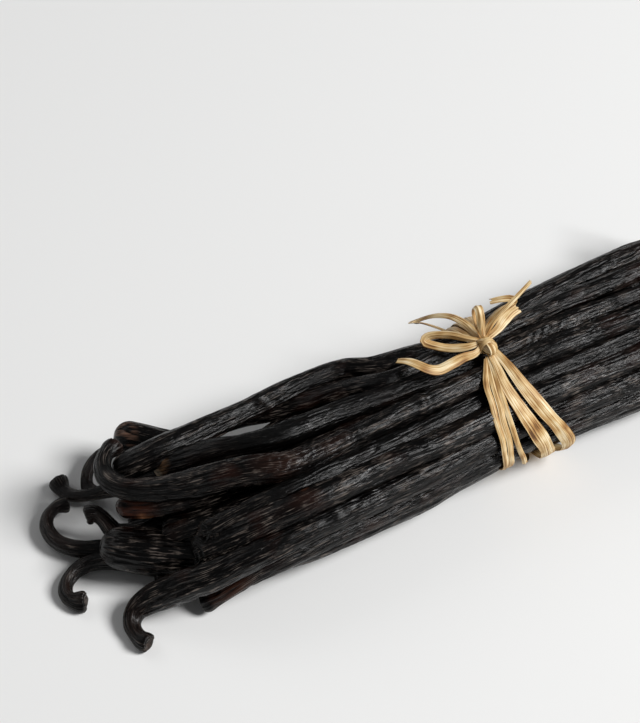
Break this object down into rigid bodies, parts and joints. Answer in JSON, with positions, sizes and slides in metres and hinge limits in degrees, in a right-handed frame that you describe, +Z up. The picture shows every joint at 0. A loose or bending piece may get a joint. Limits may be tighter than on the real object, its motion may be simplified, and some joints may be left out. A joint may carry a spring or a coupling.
{
  "type": "bundle of vanilla pods",
  "caption": "Tied bundle of cured vanilla pods: dark wrinkled pods packed side by side with curled stalk ends fanning out, held round the middle by strips of raffia knotted in a small bow.",
  "frame": {"origin": "centre of the footprint, on the surface that the bundle lies on", "axes": "+X along the bundle towards its right end, away from the curled stalk ends, +Y to the back, +Z up"},
  "size_m": [0.1896, 0.0636, 0.0396],
  "materials": {
    "pod_skin": "satin, oily, deeply wrinkled",
    "raffia": "dry, fibrous, slightly shiny"
  },
  "bodies": {
    "root": {"pod_bundle": "pod_skin", "raffia_tie": "raffia", "raffia_loop_left": "raffia", "raffia_loop_back": "raffia", "raffia_loop_up": "raffia", "raffia_tail_rolled": "raffia", "raffia_tail_flared": "raffia", "raffia_tail_frayed": "raffia", "raffia_tail_twisted": "raffia"}
  },
  "joints": []
}
